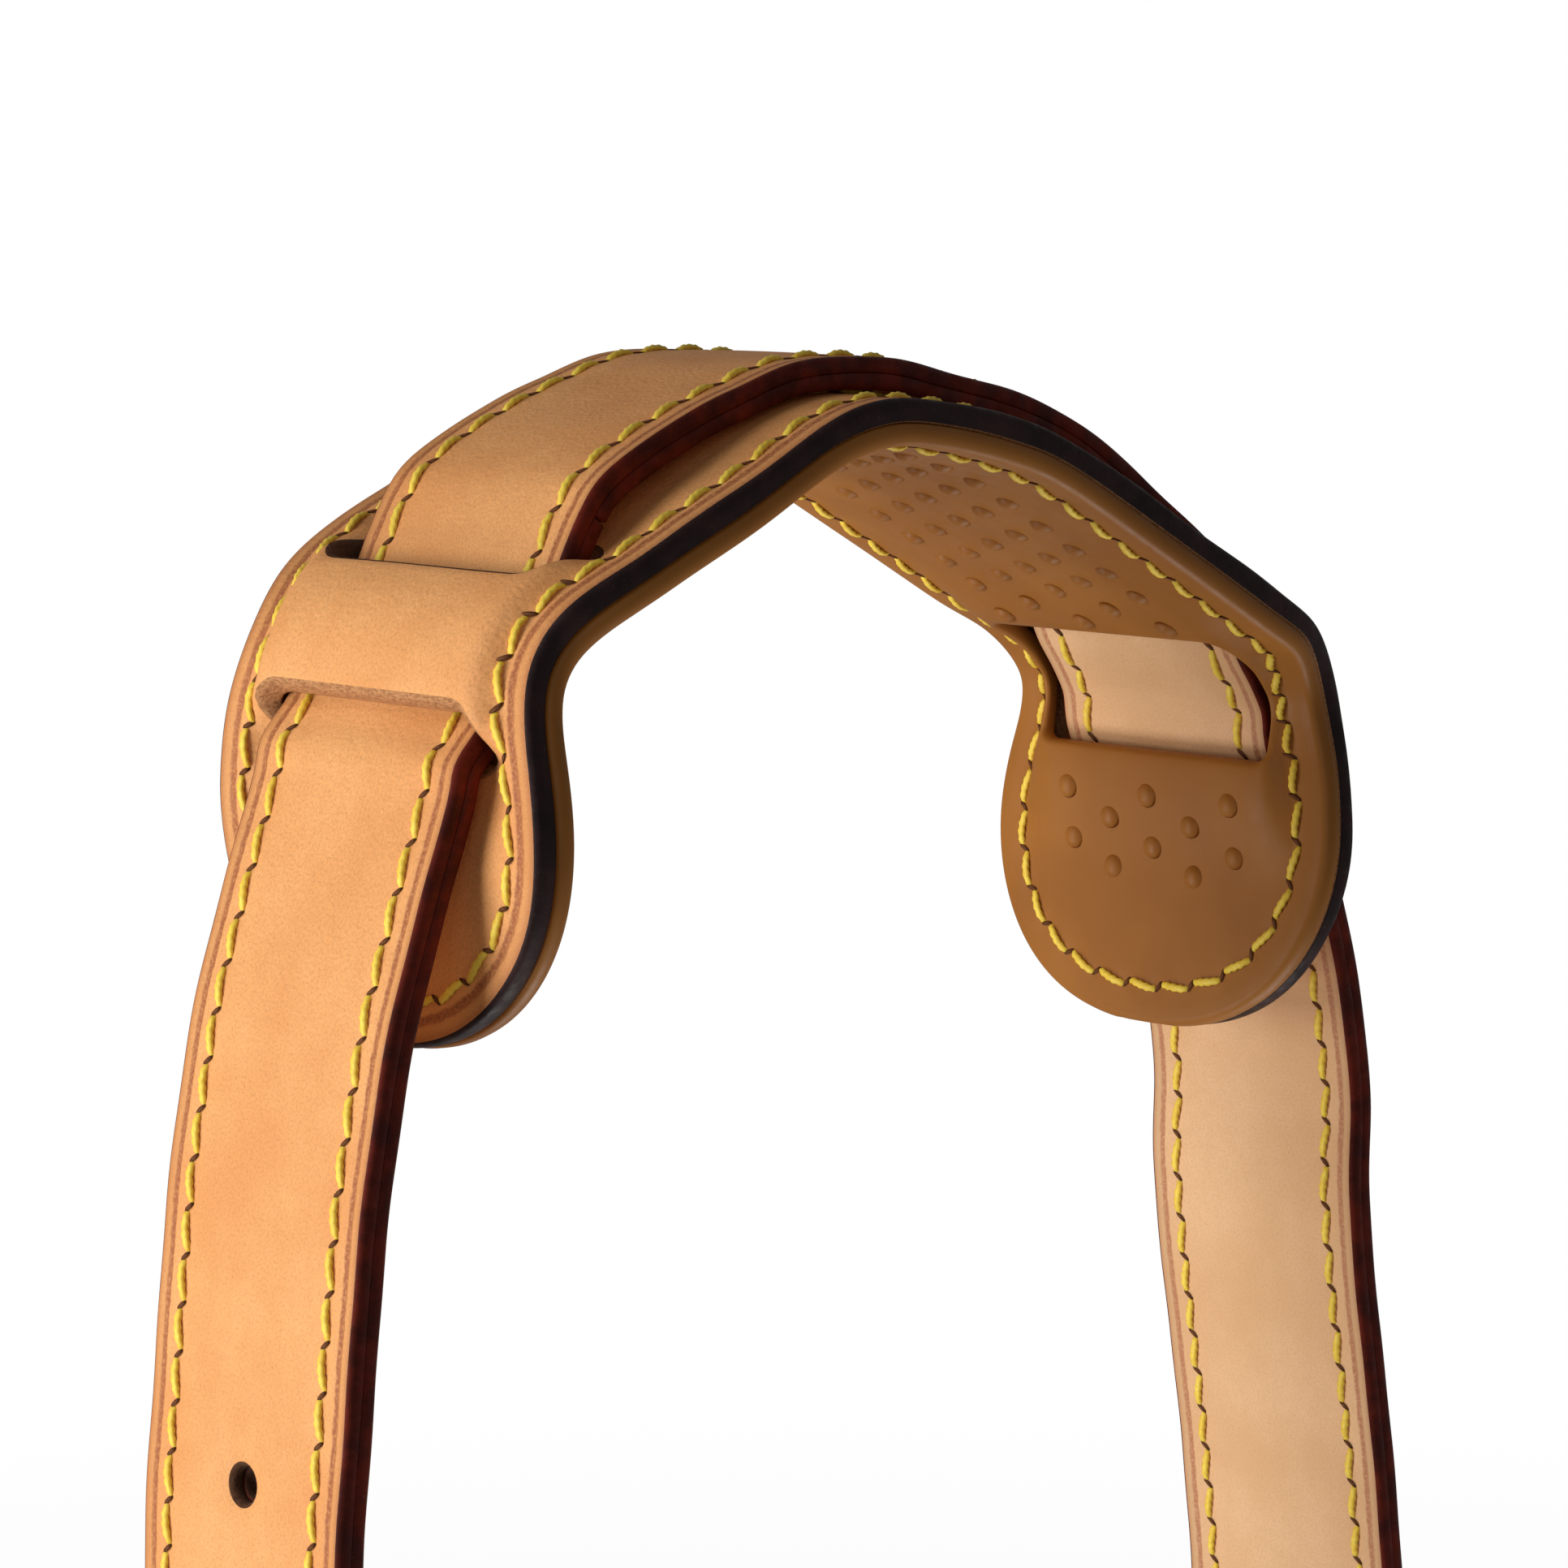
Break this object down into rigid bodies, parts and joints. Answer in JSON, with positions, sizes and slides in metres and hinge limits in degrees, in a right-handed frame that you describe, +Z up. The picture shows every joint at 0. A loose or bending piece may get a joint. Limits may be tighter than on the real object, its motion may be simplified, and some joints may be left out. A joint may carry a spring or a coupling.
{
  "type": "bag shoulder strap with shoulder pad",
  "caption": "Stitched leather bag strap hanging in an arch, threaded through a rubber-lined shoulder pad, with a buckle for length and a swivel snap hook on each end.",
  "frame": {"origin": "middle of the pad's inner face at the top of the arch, where it rests on a shoulder", "axes": "+X from the buckle leg to the folded leg, +Y across the strap's width to the far edge, +Z up"},
  "size_m": [0.1665, 0.0486, 0.2966],
  "materials": {
    "natural_leather": "vegetable-tanned grain leather, light sheen, dark painted edges",
    "inner_leather": "paler grain leather, light sheen, dark painted edges",
    "moulded_liner": "moulded, semi-gloss, with raised grip nubs",
    "waxed_thread": "thick twisted waxed thread",
    "brass_hardware": "cast and tumbled, satin polish",
    "spring_steel": "plain drawn steel"
  },
  "bodies": {
    "pad_and_crown": {"pad_leather": "natural_leather", "pad_liner": "moulded_liner", "pad_needle_thread": "waxed_thread", "pad_bobbin_thread": "waxed_thread", "crown_face_leather": "natural_leather", "crown_back_leather": "inner_leather", "crown_face_thread_near": "waxed_thread", "crown_face_thread_far": "waxed_thread", "crown_back_thread_near": "waxed_thread", "crown_back_thread_far": "waxed_thread"},
    "left_leg": {"left_leg_face_leather": "natural_leather", "left_leg_back_leather": "inner_leather", "left_leg_face_thread_near": "waxed_thread", "left_leg_face_thread_far": "waxed_thread", "left_leg_back_thread_near": "waxed_thread", "left_leg_back_thread_far": "waxed_thread", "buckle_frame": "brass_hardware", "buckle_tab": "natural_leather", "keeper_fixed": "natural_leather"},
    "prong": {"buckle_prong": "brass_hardware"},
    "sliding_keeper": {"keeper_sliding": "natural_leather"},
    "right_leg": {"right_leg_face_leather": "natural_leather", "right_leg_back_leather": "inner_leather", "right_leg_face_thread_near": "waxed_thread", "right_leg_face_thread_far": "waxed_thread", "right_leg_back_thread_near": "waxed_thread", "right_leg_back_thread_far": "waxed_thread", "fold_rivet_near": "brass_hardware", "fold_rivet_far": "brass_hardware"},
    "left_eye": {"left_hook_eye": "brass_hardware"},
    "left_hook": {"left_hook_body": "brass_hardware", "left_hook_gate_pin": "spring_steel", "left_hook_gate_spring": "spring_steel"},
    "left_gate": {"left_hook_gate": "brass_hardware"},
    "right_eye": {"right_hook_eye": "brass_hardware"},
    "right_hook": {"right_hook_body": "brass_hardware", "right_hook_gate_pin": "spring_steel", "right_hook_gate_spring": "spring_steel"},
    "right_gate": {"right_hook_gate": "brass_hardware"}
  },
  "joints": [
    {"name": "left_leg_flex", "type": "hinge", "parent": "pad_and_crown", "child": "left_leg", "pos_m": [-0.04904, 0, -0.03552], "axis": [0, 1, 0], "range_deg": [-10, 25], "stiffness_Nm_per_rad": 0.3, "springref_deg": 1.39},
    {"name": "right_leg_flex", "type": "hinge", "parent": "pad_and_crown", "child": "right_leg", "pos_m": [0.07279, 0, -0.04884], "axis": [0, -1, 0], "range_deg": [-10, 25], "stiffness_Nm_per_rad": 0.3, "springref_deg": 1.37},
    {"name": "prong_hinge", "type": "hinge", "parent": "left_leg", "child": "prong", "pos_m": [-0.0598, 0, -0.161], "axis": [0, -1, 0], "range_deg": [0, 4]},
    {"name": "keeper_slide", "type": "slide", "parent": "left_leg", "child": "sliding_keeper", "axis": [0, 0, 1], "range_m": [-0.008, 0.008]},
    {"name": "left_eye_swing", "type": "hinge", "parent": "left_leg", "child": "left_eye", "pos_m": [-0.0598, 0, -0.236], "axis": [0, 1, 0], "range_deg": [-60, 60]},
    {"name": "left_hook_swivel", "type": "hinge", "parent": "left_eye", "child": "left_hook", "pos_m": [-0.0598, 0, -0.251], "axis": [0, 0, 1], "continuous": true},
    {"name": "left_gate_hinge", "type": "hinge", "parent": "left_hook", "child": "left_gate", "pos_m": [-0.0661, 0, -0.2635], "axis": [0, -1, 0], "range_deg": [0, 25], "stiffness_Nm_per_rad": 0.02, "springref_deg": -17.19},
    {"name": "right_eye_swing", "type": "hinge", "parent": "right_leg", "child": "right_eye", "pos_m": [0.0875, 0, -0.236], "axis": [0, 1, 0], "range_deg": [-60, 60]},
    {"name": "right_hook_swivel", "type": "hinge", "parent": "right_eye", "child": "right_hook", "pos_m": [0.0875, 0, -0.251], "axis": [0, 0, 1], "continuous": true},
    {"name": "right_gate_hinge", "type": "hinge", "parent": "right_hook", "child": "right_gate", "pos_m": [0.0938, 0, -0.2635], "axis": [0, 1, 0], "range_deg": [0, 25], "stiffness_Nm_per_rad": 0.02, "springref_deg": -17.19}
  ]
}
